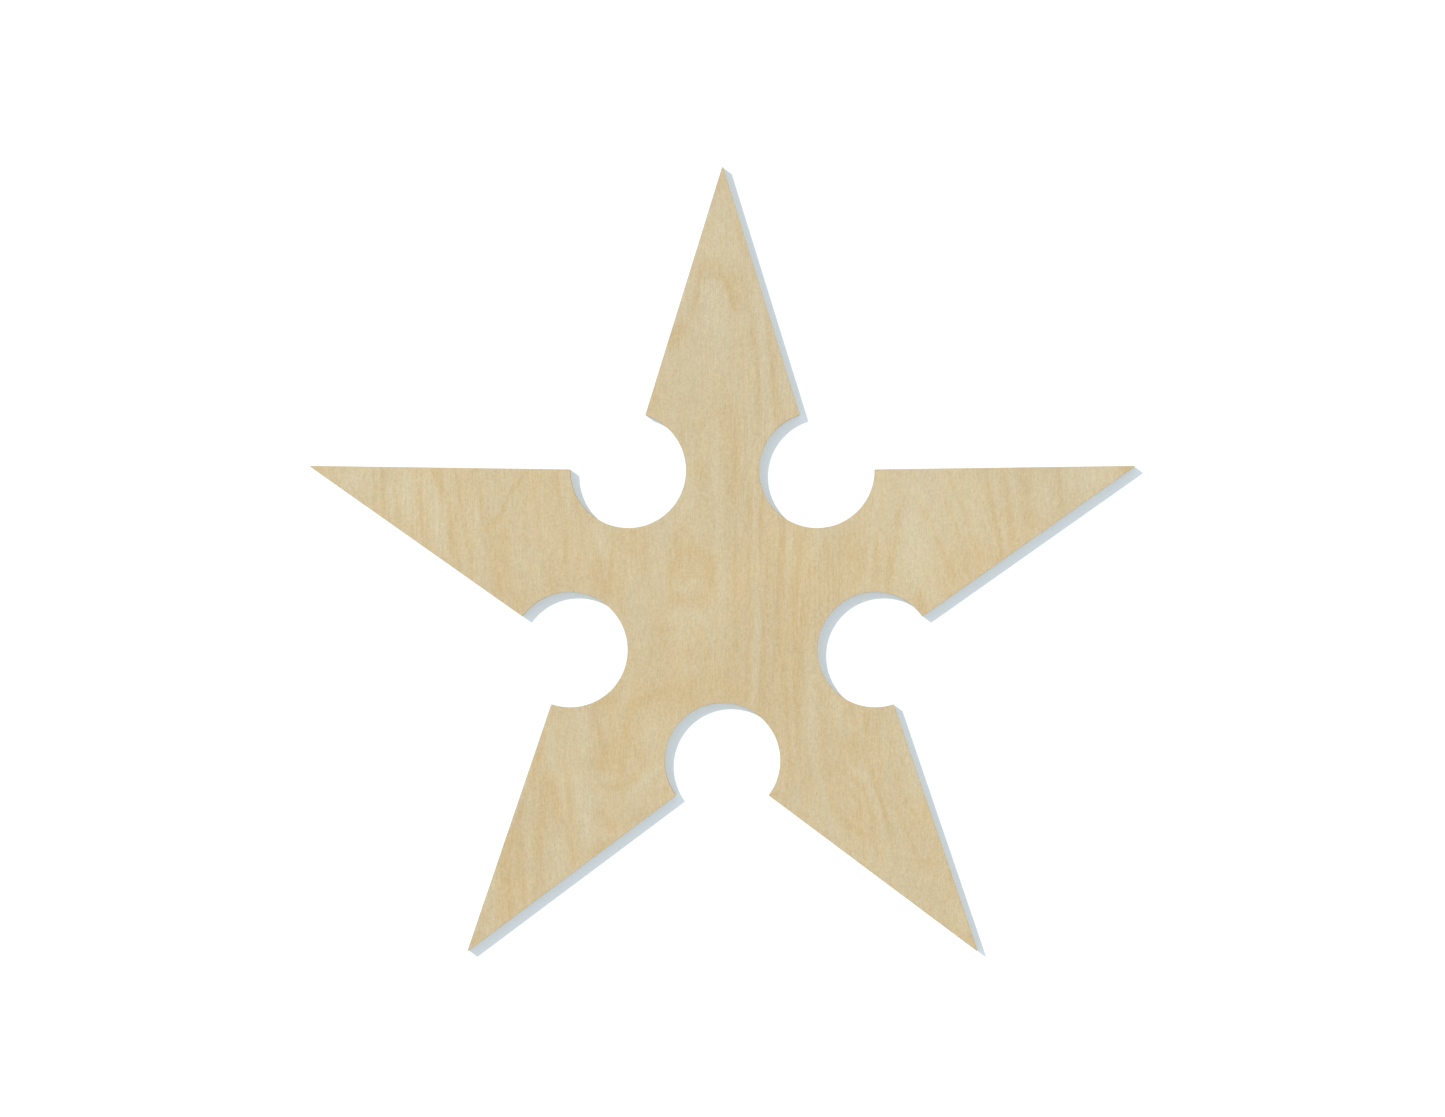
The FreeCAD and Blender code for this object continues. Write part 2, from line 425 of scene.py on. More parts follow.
def make_birch_group():
    """Peeled birch: a darker, sharper line where each ring ends, fibres, pores and soft blotches.

    Figure is how far a place lies from the wood's middle tone, 1 for tan and -1 for pale. Cast is 1
    where the wood is cool and -1 where it is rosy. Straight is 1 where the fibres run straight and
    show as long fine lines. Cut is 0 on a surface along the fibres and 1 where they are cut square
    across.
    """
    group, given, result = new_group(
        "peeled_birch",
        {
            "Place": (VECTOR, (0, 0, 0)),
            "Rings": (NUMBER, 0.0),
            "Ring strength": (NUMBER, 0.5),
            "Blotches": (NUMBER, 1.0),
            "Figure": (NUMBER, 0.0),
            "Cast": (NUMBER, 0.0),
            "Straight": (NUMBER, 0.0),
            "Cut": (NUMBER, 0.0),
            "Pale": (COLOUR, (1, 1, 1, 1)),
            "Tan": (COLOUR, (1, 1, 1, 1)),
        },
        {"Color": COLOUR, "Roughness": NUMBER, "Height": NUMBER},
    )
    place = given["Place"]
    # One ring: slowly darker from mid growth to its fine dark line, then at once pale again. Some
    # rings show more than others, and each shows in some places more than in others.
    mid_growth, dark_line = 0.35, 0.92
    faintest_ring, faintest_place = 0.2, 0.35
    phase = calc(group, "FRACT", given["Rings"])
    number = calc(group, "FLOOR", given["Rings"])
    chance = put(group, "ShaderNodeTexWhiteNoise", {"W": number}, noise_dimensions="1D").outputs[0]
    rise = steer(group, phase, mid_growth, dark_line)
    fall = steer(group, phase, dark_line, 1.0, 1.0, 0.0)
    late = calc(group, "MULTIPLY", rise, fall)
    patchy = cloud(group, place, (22, 48, 30))
    late = calc(group, "MULTIPLY", late, steer(group, patchy, 0.35, 0.65, faintest_place, 1.0))
    chance = calc(group, "MULTIPLY_ADD", chance, 1 - faintest_ring, faintest_ring)
    late = calc(group, "MULTIPLY", late, chance)

    # Soft blotches and fibre bundles move the tone between pale and tan, and slow clouds move it
    # between rosy and cool.
    tone_step, cast_step = 0.45, 0.5  # how far one unit of figure or of cast goes from the middle
    rosy, cool = (1.026, 1.012, 0.982, 1.0), (0.974, 0.988, 1.018, 1.0)
    blotch = cloud(group, place, (10, 34, 30), detail=3.0, roughness=0.6)
    bundle = cloud(group, place, (1.5, 28, 1.5), detail=3.0, roughness=0.65)
    ripple = cloud(group, place, (3.0, 4.5, 6.0))
    soft = sway(group, bundle, 1.3, sway(group, ripple, 0.6, sway(group, blotch, 1.3)))
    level = calc(group, "MULTIPLY_ADD", soft, given["Blotches"], given["Figure"])
    level = calc(group, "MULTIPLY_ADD", late, given["Ring strength"], level)
    share = calc(group, "MULTIPLY_ADD", level, tone_step, 0.5)
    colour = blend_colours(group, share, given["Pale"], given["Tan"])
    wander = cloud(group, place, (12, 30, 20), detail=4.0, roughness=0.75)
    cast = sway(group, wander, 6.5, given["Cast"])
    cast = calc(group, "MULTIPLY_ADD", cast, cast_step, 0.5)
    colour = blend_colours(group, 1.0, colour, blend_colours(group, cast, rosy, cool), "MULTIPLY")

    # Fibres and pores only shade the tone. A pore is a short dark dash, one or none in each cell.
    lit, dull = (1.10, 1.12, 1.16, 1.0), (0.90, 0.88, 0.84, 1.0)
    resting_shade = 0.44
    pore_core, pore_rim = 0.12, 0.28  # in cells
    rarest_cell, fullest_cell = 0.35, 0.75  # the lots from which a cell has a pore, and a full one
    fibre = cloud(group, place, (0.33, 4.8, 0.33), detail=2.0, roughness=0.65)
    speck = cloud(group, place, (0.7, 0.9, 0.7))
    strand = cloud(group, place, (0.7, 30, 0.7))
    cell = {"Vector": spread(group, place, (0.6, 3.2, 0.6)), "Scale": 1.0, "Randomness": 1.0}
    pores = put(group, "ShaderNodeTexVoronoi", cell).outputs
    lot = put(group, "ShaderNodeSeparateColor", {0: pores["Color"]}).outputs[0]
    pore = steer(group, pores["Distance"], pore_core, pore_rim, 1.0, 0.0)
    pore = calc(group, "MULTIPLY", pore, steer(group, lot, rarest_cell, fullest_cell))
    shade = sway(group, speck, 1.35, sway(group, fibre, 1.35, resting_shade))
    shade = sway(group, strand, calc(group, "MULTIPLY", given["Straight"], 1.3), shade)
    shade = calc(group, "MULTIPLY_ADD", pore, 0.7, shade)
    colour = blend_colours(group, 1.0, colour, blend_colours(group, shade, lit, dull), "MULTIPLY")

    # Cut ends of fibres drink more light, and their open ends show as fine dots.
    end_grain, palest_end = (0.70, 0.60, 0.48, 1.0), 0.72
    dots = cloud(group, place, (0.16, 3.0, 0.16))
    depth = calc(group, "MULTIPLY", given["Cut"], steer(group, dots, 0.3, 0.7, palest_end, 1.0))
    colour = blend_colours(group, depth, colour, end_grain, "MULTIPLY")
    group.links.new(colour, result["Color"])

    # Bare sanded wood is dull, and a little duller on high fibres and on cut ends. Pores are pits.
    sanded_rough, added_rough, pore_pit = 0.52, 0.14, -0.9
    rough = calc(group, "MULTIPLY_ADD", fibre, added_rough, sanded_rough)
    rough = calc(group, "MULTIPLY_ADD", given["Cut"], added_rough, rough)
    group.links.new(rough, result["Roughness"])
    height = calc(group, "MULTIPLY_ADD", pore, pore_pit, fibre)
    group.links.new(height, result["Height"])
    return group


ring_group = make_ring_group()
birch_group = make_birch_group()


def grain_place(tree, turn, seed):
    """Where a point lies in its own log, in millimetres: across the grain, along it and deep."""
    here = put(tree, "ShaderNodeTexCoord").outputs["Object"]
    inputs = {
        "Vector": here,
        "Location": seed,
        "Rotation": (0, 0, turn),
        "Scale": (1 / mm, 1 / mm, 1 / mm),
    }
    return put(tree, "ShaderNodeMapping", inputs).outputs[0]


def dress_in_birch(
    piece, turn, seed, lean, swells, pale, tan, ring_strength=0.9, blotches=1.0, own=None
):
    """Gives a layer the look of one peeled birch veneer.

    turn is the grain's direction from Y, and seed is where in the log the veneer was peeled. lean
    and swells say how its growth rings lie, in rings for each millimetre and in rings. own may add
    what only this veneer has: it takes the rings and gives them back with its own looks.
    """
    material = bpy.data.materials.new(piece.name)
    material.use_nodes = True
    tree = material.node_tree
    shader = tree.nodes["Principled BSDF"]
    place = grain_place(tree, turn, seed)
    inputs = {"Place": place, "Lean": lean, "Broad swell": swells[0], "Small swell": swells[1]}
    looks = {"Rings": use_group(tree, ring_group, inputs)["Rings"]}
    if own:
        looks = own(tree, place, looks)
    normal = put(tree, "ShaderNodeNewGeometry").outputs["Normal"]
    grain = (math.sin(turn), math.cos(turn), 0.0)
    cut = steer(tree, calc(tree, "ABSOLUTE", dot(tree, normal, grain)), 0.2, 1.0)
    # The bit leaves faint upright ridges on the wall of the cut, a fraction of a millimetre apart.
    steep = put(tree, "ShaderNodeSeparateXYZ", {0: normal}).outputs["Z"]
    wall = steer(tree, calc(tree, "ABSOLUTE", steep), 0.3, 0.7, 1.0, 0.0)
    run = put(tree, "ShaderNodeUVMap", uv_map="edge").outputs[0]
    ridges = sway(tree, cloud(tree, run, (0.45 * mm, 9 * mm, 1.0)), wall)
    looks["Cut"] = calc(tree, "MULTIPLY_ADD", ridges, 0.5, cut)
    looks.update({"Place": place, "Ring strength": ring_strength, "Blotches": blotches})
    looks.update({"Pale": pale, "Tan": tan})
    wood = use_group(tree, birch_group, looks)
    height = calc(tree, "MULTIPLY_ADD", ridges, 2.0, wood["Height"])
    relief = put(tree, "ShaderNodeBump", {"Height": height, "Strength": 1.0, "Distance": 0.012 * mm})
    tree.links.new(wood["Color"], shader.inputs["Base Color"])
    tree.links.new(wood["Roughness"], shader.inputs["Roughness"])
    tree.links.new(relief.outputs[0], shader.inputs["Normal"])
    shader.inputs["Specular IOR Level"].default_value = 0.4
    piece.data.materials.append(material)


sanded_arris = 0.15 * mm
back = make_layer("sanded_back", "back_veneer", "back", sanded_arris)
dress_in_birch(
    back,
    turn=0.0,
    seed=(310, 140, 0),
    lean=(0.05, 0.02, 0.4),
    swells=(9.0, 2.0),
    pale=tone(214, 200, 165),
    tan=tone(208, 186, 143),
)

# The four resin lines. Brown cured resin bonds each two veneers and shows on the cut edge as a
# hair-fine dark line.

for name, node in (
    ("resin_under_core_ply", "lower_core_glue_line"),
    ("resin_on_back", "back_glue_line"),
    ("resin_on_core_ply", "upper_core_glue_line"),
    ("resin_under_face", "face_glue_line"),
):
    resin = make_layer(name, node)
    material = bpy.data.materials.new(name)
    material.use_nodes = True
    tree = material.node_tree
    shader = tree.nodes["Principled BSDF"]
    place = grain_place(tree, 0.0, (0, 0, 0))
    soak = cloud(tree, place, (1.2, 1.2, 0.6), detail=2.0)
    tree.links.new(
        blend_colours(tree, steer(tree, soak, 0.35, 0.7), tone(92, 58, 36), tone(134, 94, 60)),
        shader.inputs["Base Color"],
    )
    shader.inputs["Roughness"].default_value = 0.45
    resin.data.materials.append(material)

# The two crossbands. These thicker veneers lie with their grain across the star, along X, so that
# the sheet stays flat, and their cut ends are the darker stripes of the edge.

for name, node, seed in (
    ("lower_cross_ply", "lower_crossband", (60, 900, 40)),
    ("upper_cross_ply", "upper_crossband", (-240, 500, 90)),
):
    ply = make_layer(name, node)
    dress_in_birch(
        ply,
        turn=math.pi / 2,
        seed=seed,
        lean=(0.03, 0.02, 0.7),
        swells=(8.0, 2.0),
        pale=tone(211, 192, 152),
        tan=tone(200, 172, 124),
    )

# The core ply. It lies between the crossbands with its grain along Y, as the two outer veneers do.

core = make_layer("core_ply", "core_veneer")
dress_in_birch(
    core,
    turn=0.0,
    seed=(-700, 260, 20),
    lean=(0.04, 0.02, 0.7),
    swells=(8.0, 2.0),
    pale=tone(214, 198, 162),
    tan=tone(206, 182, 138),
)

# The face veneer. It is the best of the peeled ribbon: clear birch with one flame in the upper
# point, a closed eye left of the centre, and close straight streaks to the right of it.

face = make_layer("sanded_face", "face_veneer", "face", sanded_arris)


def bell(group, distance_squared):
    """1 at no distance, falling as exp(-distance^2)."""
    return calc(group, "POWER", math.exp(-1), distance_squared)


def make_mark_group(name, falloff, *own):
    """A mark in the wood. A veneer's place is (x, y, tone so far), and the mark adds to its tone.

    The tone gains Dark falloff(local), with local the place in the mark's own sizes. own names the
    numbers that only this kind of mark has.
    """
    inputs = {
        "Veneer": (VECTOR, (0, 0, 0)),
        "Middle": (VECTOR, (0, 0, 0)),
        "Turn": (VECTOR, (0, 0, 0)),
        "Size": (VECTOR, (1, 1, 1)),
        "Dark": (VECTOR, (0, 0, 1)),
    }
    inputs.update({label: (NUMBER, 0.0) for label in own})
    group, given, result = new_group(name, inputs, {"Veneer": VECTOR})
    local = put(
        group,
        "ShaderNodeMapping",
        {
            "Vector": given["Veneer"],
            "Location": given["Middle"],
            "Rotation": given["Turn"],
            "Scale": given["Size"],
        },
        vector_type="TEXTURE",
    ).outputs[0]
    fade = falloff(group, local, *(given[label] for label in own))
    marked = put(
        group,
        "ShaderNodeVectorMath",
        {0: fade, 1: given["Dark"], 2: given["Veneer"]},
        operation="MULTIPLY_ADD",
    )
    group.links.new(marked.outputs[0], result["Veneer"])
    return group


def streak_falloff(group, local, bow):
    """exp(-|u + bow v^2|^3 - v^4): blunt across and at the ends, with its ends drawn aside by bow."""
    axes = put(group, "ShaderNodeSeparateXYZ", {0: local}).outputs
    along = calc(group, "MULTIPLY", axes["Y"], axes["Y"])
    across = calc(group, "MULTIPLY_ADD", along, bow, axes["X"])
    across = calc(group, "POWER", calc(group, "ABSOLUTE", across), 3.0)
    return bell(group, calc(group, "MULTIPLY_ADD", along, along, across))


def patch_falloff(group, local):
    """exp(-r^2): soft all round."""
    return bell(group, dot(group, local, local))


def eye_falloff(group, local, line):
    """exp(-((r - 1) / line)^2): a soft closed line."""
    radius = put(group, "ShaderNodeVectorMath", {0: local}, operation="LENGTH").outputs["Value"]
    off = calc(group, "DIVIDE", calc(group, "SUBTRACT", radius, 1.0), line)
    return bell(group, calc(group, "MULTIPLY", off, off))


streak_group = make_mark_group("grain_streak", streak_falloff, "Bow")
patch_group = make_mark_group("grain_patch", patch_falloff)
eye_group = make_mark_group("grain_eye", eye_falloff, "Line")
no_size = 1e6  # a size so large that the tone doesn't move a mark
no_end = 1e4  # a size so large that a ridge runs the whole length of the veneer

# Where the marks lie, in millimetres from the star's centre, across and up. They are chosen one by
# one, and listed from left to right in each part of the star.

# Streaks: from and to, half width, how dark (pale below 0), how far the middle stands to the right.
streaks = (
    # The upper point.
    ((-20, 93), (-13, 103), 2.4, 0.9, 0),
    ((-12.5, 121), (-15, 109), 1.5, -0.5, 0),
    ((-13, 102), (-9.5, 112), 1.2, 0.7, 0),
    ((-10, 110), (-7.5, 124), 1.0, 0.9, 0),
    ((-4, 119), (-1.5, 98), 4.6, -0.65, 0),
    ((-0.6, 120), (4.8, 106.5), 1.1, 1.4, 0.4),
    ((3, 72), (4, 35), 3, 0.8, 0),
    ((2, 122), (6.5, 108), 2.0, 0.5, 0),
    ((4.5, 141), (8.5, 127), 1.3, 0.5, 0),
    ((6.5, 98), (8.3, 84), 0.9, 0.45, 0),
    ((7.5, 115), (11, 105), 1.0, 0.5, 0),
    ((9, 93), (10, 84), 1.2, -0.4, 0),
    ((9.5, 66), (9.5, 48), 1.0, -0.3, 0),
    ((10, 102), (12, 92), 1.2, 0.9, 0),
    ((12.6, 93), (14, 66), 1.0, 0.9, 0),
    ((12.5, 118), (15, 96), 2, -0.6, 0),
    ((15, 98), (16.5, 64), 1.8, -0.6, 0),
    ((16.5, 104), (18.5, 84), 1.0, 0.8, 0),
    ((18, 88), (20, 64), 1.0, 0.9, 0),
    ((23, 88), (24, 70), 2, -0.4, 0),
    # The middle, left of the centre.
    ((-46.5, 20), (-46, 8), 1.2, 0.5, 0),
    ((-45.5, 29), (-44.5, 16), 2.2, -0.8, 0),
    ((-40, 25), (-41.8, 5), 0.9, 1.1, 0),
    ((-38.5, 4), (-37.5, -6), 1.6, 0.6, 0),
    ((-34, -27), (-38, -42), 1.6, -0.6, 0),
    ((-29, 26), (-29, 8), 1.6, 0.5, 0),
    ((-24, 30), (-23, 2), 2.5, -0.5, 0),
    ((-16, 29), (-17, 18), 1.4, 0.6, 0),
    ((-12, 46), (-14, 30), 2.6, -0.6, 0),
    ((-9, 52), (-6, 42), 2.5, 0.6, 0),
    ((-3, 66), (0, -8), 1.7, -0.5, 0),
    # The middle, right of the centre.
    ((0.5, 14), (0, -2), 1.5, -0.4, 0),
    ((5, 30), (4.5, 4), 0.9, 0.85, 0),
    ((5.4, 4), (5, -22), 0.8, 0.5, 0),
    ((8, 52), (8, 38), 1.0, 0.4, 0),
    ((9, 34), (9, -20), 0.9, 0.4, 0),
    ((10, 38), (10.5, 27), 1, 0.6, 0),
    ((13.2, -4), (11.6, -40), 1.5, -0.75, 0),
    ((12, 30), (12.9, -15), 1.0, -0.6, 0),
    ((14, 36), (14.5, 18), 1.4, 0.6, 0),
    ((14.5, -24), (15, -43), 1.3, 0.5, 0),
    ((15.3, -8), (15.8, -34), 0.6, 0.5, 0),
    ((20.6, 4), (21.4, -22), 0.5, 0.6, 0),
    ((22, 32), (20.5, -10), 1.1, 0.7, 0),
    ((22.5, 2), (23.2, -18), 0.8, 0.3, 0),
    ((20.5, -10), (25.6, -66), 1, 0.7, 0.6),
    ((24, 0), (25, -30), 0.8, -0.4, 0),
    ((25, 27), (25, 6), 1.4, -0.6, 0),
    ((26.8, -8), (27.4, -28), 0.5, 0.7, 0),
    ((29, 26), (26, -12), 1.1, 0.9, 0),
    ((26.5, -10), (28.5, -62), 1.1, 0.8, 0),
    ((30.5, -2), (31, -20), 1, 0.4, 0),
    ((31.5, -3), (33.8, -64), 1.7, -0.7, 0),
    ((35, 27), (35, 13), 1.6, -0.6, 0),
    # The left point.
    ((-137, 48), (-137, 41), 3.5, -0.9, 0),
    ((-128.2, 49), (-127.8, 32), 1.2, 0.9, 0),
    ((-125.4, 49), (-124.9, 29), 1.1, 1.4, 0),
    ((-123, 46), (-122, 33), 1, -0.4, 0),
    ((-119.8, 38), (-119, 27), 0.9, 0.6, 0),
    ((-117, 48), (-115, 28), 2.2, -0.6, 0),
    ((-111.4, 44), (-110.6, 21), 0.9, 0.8, 0),
    ((-107.5, 44), (-102.6, 15), 2.5, -0.85, 0),
    ((-106.8, 49), (-102.4, 38), 1.4, 1.3, 0),
    ((-101.2, 40), (-99.2, 14), 0.9, 0.9, 0),
    ((-99.6, 29), (-96.8, 11), 0.8, 0.6, 0),
    ((-98.4, 48), (-95.8, 31), 0.7, 0.7, 0),
    ((-95.8, 32), (-92, 8), 0.8, 0.6, 0),
    ((-91, 34), (-89, 6), 1.3, -0.4, 0),
    ((-89.4, 42), (-88.2, 28), 0.7, 0.8, 0),
    ((-80.4, 34.6), (-88.4, 25), 0.9, 1.1, 0.9),
    ((-82.5, 27), (-82, -1), 4.0, 0.55, 0),
    ((-72.6, 47.5), (-81, 33.5), 0.9, 0.9, -0.3),
    ((-69, 18), (-68, 4), 1.5, -0.4, 0),
    ((-64, 16), (-62, 3), 1.1, 0.5, 0),
    ((-61.4, 46), (-59.4, 32), 0.8, 0.7, 0),
    ((-58.5, 30), (-57, 5), 1, 0.5, 0),
    ((-57.3, 47), (-56, 33), 1.2, -0.6, 0),
    ((-55, 38), (-52, 29), 1, 0.6, 0),
    # The right point.
    ((50.5, 20), (50, 4), 0.9, 0.4, 0),
    ((56.5, 38), (53.2, 4), 0.8, -0.9, 0),
    ((56.5, 26), (55.5, 6), 1, 0.4, 0),
    ((57.3, 26), (57, 8), 0.8, 0.4, 0),
    ((61.8, 26), (61, 10), 0.9, 0.4, 0),
    ((65.5, 34), (60.5, 4), 1.5, 0.9, 0),
    ((68, 39), (64, 30), 1.2, 0.6, 0),
    ((70.5, 38), (76, 29), 1.2, 0.7, 0),
    ((78, 25), (87, 4), 1.6, 0.6, 0),
    ((80.5, 40), (88.5, 21), 0.8, 0.7, 0),
    ((83, 47), (89, 32), 1.2, 0.5, 0),
    ((85.5, 37), (91, 26), 0.8, -0.4, 0),
    ((88, 36), (95, 13), 0.8, 0.5, 0),
    ((91, 46), (94, 25), 2.5, -0.3, 0),
    ((100.5, 32), (98, 14), 1, 0.4, 0),
    ((96.5, 48), (103.5, 15), 1.2, 1.0, 0),
    ((103, 29), (104, 20), 1, -0.6, 0),
    ((104, 48), (107, 18), 1.3, 0.8, 0),
    ((107, 49), (106.8, 36), 1, -0.6, 0),
    ((110.5, 48), (113.5, 29), 2.3, 0.8, 0),
    ((118, 46), (120, 30), 2, -0.6, 0),
    ((123.6, 49), (125.2, 33), 1.1, 0.9, 0),
    # The lower left point.
    ((-80.6, -85), (-79.6, -104), 1.2, 1.3, 0),
    ((-79.7, -100), (-77.9, -118), 0.9, 1.4, 0),
    ((-76, -76), (-74, -110), 1.8, 0.6, 0),
    ((-66.5, -52), (-83, -105), 1.2, 0.7, 0),
    ((-71.5, -62), (-77, -84), 0.9, -0.4, 0),
    ((-71.8, -68), (-71, -110), 1.0, -0.6, 0),
    ((-69.3, -64), (-69.5, -77), 0.8, 0.5, 0),
    ((-68.9, -80), (-67.8, -108), 0.8, 0.8, 0),
    ((-67, -88), (-66.3, -109), 0.7, 0.8, 0),
    ((-65.3, -64), (-67.6, -92), 1.4, 0.9, 0),
    ((-63.5, -45), (-63, -64), 1.8, -0.6, 0),
    ((-62.6, -66), (-60.6, -82), 1.1, 0.8, 0),
    ((-59.3, -62), (-58.5, -76), 0.8, -0.5, 0),
    ((-58.5, -76), (-56, -92), 0.6, -0.5, 0),
    ((-58, -60), (-55.5, -86), 0.9, 0.5, 0),
    ((-58.6, -78), (-54.2, -98), 0.8, 1.0, 0),
    ((-57, -44), (-54, -52), 1, 0.3, 0),
    ((-53.5, -62), (-50, -90), 2.6, -1.0, 0),
    ((-51.5, -41), (-50, -58), 2.4, -0.5, 0),
    ((-48.6, -60), (-48.8, -80), 0.8, -0.5, 0),
    ((-47.5, -40), (-44, -56), 1.2, 0.7, 0),
    ((-34, -38), (-38, -68), 1.6, 0.8, 0),
    ((-28.5, -60), (-36, -68), 1.3, 0.5, 0),
    ((-22, -59), (-33, -71), 1.8, -0.8, 0),
    # The lower right point.
    ((25, -40), (26, -60), 1.0, -0.8, 0),
    ((37.5, -38), (37.5, -58), 1.2, 0.5, 0),
    ((37.5, -38), (37.5, -47), 0.9, -0.4, 0),
    ((35, -62), (42, -90), 1.6, -0.5, 0),
    ((41, -34), (44, -50), 1.4, -0.6, 0),
    ((45, -40), (45, -49), 1.0, 0.4, 0),
    ((53.3, -41), (53.6, -50), 1, 0.9, 0),
    ((53.5, -70), (56.5, -80), 0.9, -0.5, 0),
    ((54.5, -60), (60, -82), 0.9, 0.85, 0),
    ((57, -76), (58.5, -82), 0.9, 0.4, 0),
    ((52, -62), (64, -106), 1.1, -0.8, 1.5),
    ((57.2, -66), (61.4, -85), 0.5, 0.5, 0),
    ((59.5, -82), (64, -100), 1.0, 0.7, 0),
    ((60.5, -80), (64.5, -92), 1.1, 0.5, 0),
    ((61, -78), (64, -86), 0.8, 0.4, 0),
    ((63, -74), (73, -97), 1, 0.5, 0),
    ((66.5, -50), (73, -74), 2, -0.7, 0),
)

